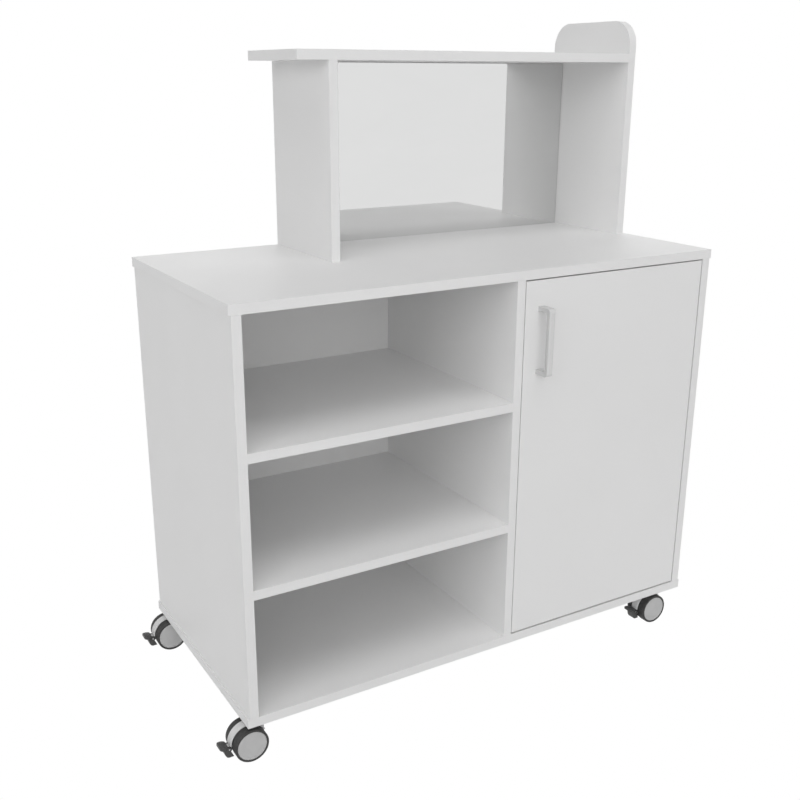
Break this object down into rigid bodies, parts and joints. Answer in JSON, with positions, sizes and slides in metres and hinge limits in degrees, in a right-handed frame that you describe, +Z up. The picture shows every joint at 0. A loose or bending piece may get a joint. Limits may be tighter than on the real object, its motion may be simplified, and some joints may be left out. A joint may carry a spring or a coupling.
{
  "type": "microwave cart",
  "caption": "White board kitchen cart on braked swivel castors, with an open shelf bay, an inset door cupboard and a raised hutch with mirror back.",
  "frame": {"origin": "on the floor, under the middle of the overall width and depth, with the brake pedals and the handle counted in", "axes": "+X to the right seen from the front, +Y from front to back, +Z up; the door faces -Y"},
  "size_m": [1.097, 0.533, 1.29],
  "materials": {
    "white_board": "white melamine faced board, satin",
    "mirror_glass": "silvered glass",
    "satin_metal": "satin silver",
    "nickel_steel": "nickel plated",
    "zinc_steel": "zinc plated",
    "pale_plastic": "pale grey, moulded",
    "hood_plastic": "light grey, moulded",
    "dark_plastic": "dark grey, moulded",
    "dark_tyre": "dark grey tread",
    "beech": "plain beech"
  },
  "bodies": {
    "cabinet": {"worktop": "white_board", "side_left": "white_board", "side_right": "white_board", "divider": "white_board", "base_panel": "white_board", "shelf_upper": "white_board", "shelf_lower": "white_board", "back_panel": "white_board", "cupboard_shelf": "white_board", "hutch_side_left": "white_board", "hutch_side_right": "white_board", "hutch_shelf": "white_board", "hutch_back": "white_board", "shelf_pins": "zinc_steel", "mirror": "mirror_glass", "cam_locks": "zinc_steel", "cam_bolts": "zinc_steel", "panel_screws": "zinc_steel", "dowels": "beech", "hinge_arms": "nickel_steel", "hinge_plates": "nickel_steel", "hinge_plate_screws": "zinc_steel", "magnet_catch": "pale_plastic", "castor_plates": "zinc_steel", "castor_screws": "zinc_steel"},
    "door": {"door": "white_board", "handle": "satin_metal", "handle_screws": "zinc_steel", "hinge_cups": "nickel_steel", "hinge_cup_screws": "zinc_steel", "hinge_pins": "nickel_steel", "catch_plate": "zinc_steel"},
    "castor_fl_fork": {"castor_fl_hood": "hood_plastic", "castor_fl_pins": "zinc_steel"},
    "castor_fl_wheel_front": {"castor_fl_core_front": "pale_plastic", "castor_fl_tyre_front": "dark_tyre"},
    "castor_fl_wheel_rear": {"castor_fl_core_rear": "pale_plastic", "castor_fl_tyre_rear": "dark_tyre"},
    "castor_fl_brake": {"castor_fl_lever": "dark_plastic"},
    "castor_fr_fork": {"castor_fr_hood": "hood_plastic", "castor_fr_pins": "zinc_steel"},
    "castor_fr_wheel_front": {"castor_fr_core_front": "pale_plastic", "castor_fr_tyre_front": "dark_tyre"},
    "castor_fr_wheel_rear": {"castor_fr_core_rear": "pale_plastic", "castor_fr_tyre_rear": "dark_tyre"},
    "castor_fr_brake": {"castor_fr_lever": "dark_plastic"},
    "castor_bl_fork": {"castor_bl_hood": "hood_plastic", "castor_bl_pins": "zinc_steel"},
    "castor_bl_wheel_front": {"castor_bl_core_front": "pale_plastic", "castor_bl_tyre_front": "dark_tyre"},
    "castor_bl_wheel_rear": {"castor_bl_core_rear": "pale_plastic", "castor_bl_tyre_rear": "dark_tyre"},
    "castor_bl_brake": {"castor_bl_lever": "dark_plastic"},
    "castor_br_fork": {"castor_br_hood": "hood_plastic", "castor_br_pins": "zinc_steel"},
    "castor_br_wheel_front": {"castor_br_core_front": "pale_plastic", "castor_br_tyre_front": "dark_tyre"},
    "castor_br_wheel_rear": {"castor_br_core_rear": "pale_plastic", "castor_br_tyre_rear": "dark_tyre"},
    "castor_br_brake": {"castor_br_lever": "dark_plastic"}
  },
  "joints": [
    {"name": "door_hinge", "type": "hinge", "parent": "cabinet", "child": "door", "pos_m": [0.503, -0.222, 0.46], "axis": [0, 0, 1], "range_deg": [0, 95]},
    {"name": "castor_fl_swivel", "type": "hinge", "parent": "cabinet", "child": "castor_fl_fork", "pos_m": [-0.465, -0.2005, 0.056], "axis": [0, 0, 1], "continuous": true},
    {"name": "castor_fl_roll_front", "type": "hinge", "parent": "castor_fl_fork", "child": "castor_fl_wheel_front", "pos_m": [-0.4925, -0.2005, 0.0325], "axis": [0, 1, 0], "continuous": true},
    {"name": "castor_fl_roll_rear", "type": "hinge", "parent": "castor_fl_fork", "child": "castor_fl_wheel_rear", "pos_m": [-0.4925, -0.2005, 0.0325], "axis": [0, 1, 0], "continuous": true},
    {"name": "castor_fl_brake_tilt", "type": "hinge", "parent": "castor_fl_fork", "child": "castor_fl_brake", "pos_m": [-0.53023, -0.2005, 0.028], "axis": [0, -1, 0], "range_deg": [0, 10]},
    {"name": "castor_fr_swivel", "type": "hinge", "parent": "cabinet", "child": "castor_fr_fork", "pos_m": [0.512, -0.2005, 0.056], "axis": [0, 0, 1], "continuous": true},
    {"name": "castor_fr_roll_front", "type": "hinge", "parent": "castor_fr_fork", "child": "castor_fr_wheel_front", "pos_m": [0.4845, -0.2005, 0.0325], "axis": [0, 1, 0], "continuous": true},
    {"name": "castor_fr_roll_rear", "type": "hinge", "parent": "castor_fr_fork", "child": "castor_fr_wheel_rear", "pos_m": [0.4845, -0.2005, 0.0325], "axis": [0, 1, 0], "continuous": true},
    {"name": "castor_fr_brake_tilt", "type": "hinge", "parent": "castor_fr_fork", "child": "castor_fr_brake", "pos_m": [0.44677, -0.2005, 0.028], "axis": [0, -1, 0], "range_deg": [0, 10]},
    {"name": "castor_bl_swivel", "type": "hinge", "parent": "cabinet", "child": "castor_bl_fork", "pos_m": [-0.465, 0.2355, 0.056], "axis": [0, 0, 1], "continuous": true},
    {"name": "castor_bl_roll_front", "type": "hinge", "parent": "castor_bl_fork", "child": "castor_bl_wheel_front", "pos_m": [-0.4925, 0.2355, 0.0325], "axis": [0, 1, 0], "continuous": true},
    {"name": "castor_bl_roll_rear", "type": "hinge", "parent": "castor_bl_fork", "child": "castor_bl_wheel_rear", "pos_m": [-0.4925, 0.2355, 0.0325], "axis": [0, 1, 0], "continuous": true},
    {"name": "castor_bl_brake_tilt", "type": "hinge", "parent": "castor_bl_fork", "child": "castor_bl_brake", "pos_m": [-0.53023, 0.2355, 0.028], "axis": [0, -1, 0], "range_deg": [0, 10]},
    {"name": "castor_br_swivel", "type": "hinge", "parent": "cabinet", "child": "castor_br_fork", "pos_m": [0.512, 0.2355, 0.056], "axis": [0, 0, 1], "continuous": true},
    {"name": "castor_br_roll_front", "type": "hinge", "parent": "castor_br_fork", "child": "castor_br_wheel_front", "pos_m": [0.4845, 0.2355, 0.0325], "axis": [0, 1, 0], "continuous": true},
    {"name": "castor_br_roll_rear", "type": "hinge", "parent": "castor_br_fork", "child": "castor_br_wheel_rear", "pos_m": [0.4845, 0.2355, 0.0325], "axis": [0, 1, 0], "continuous": true},
    {"name": "castor_br_brake_tilt", "type": "hinge", "parent": "castor_br_fork", "child": "castor_br_brake", "pos_m": [0.44677, 0.2355, 0.028], "axis": [0, -1, 0], "range_deg": [0, 10]}
  ]
}
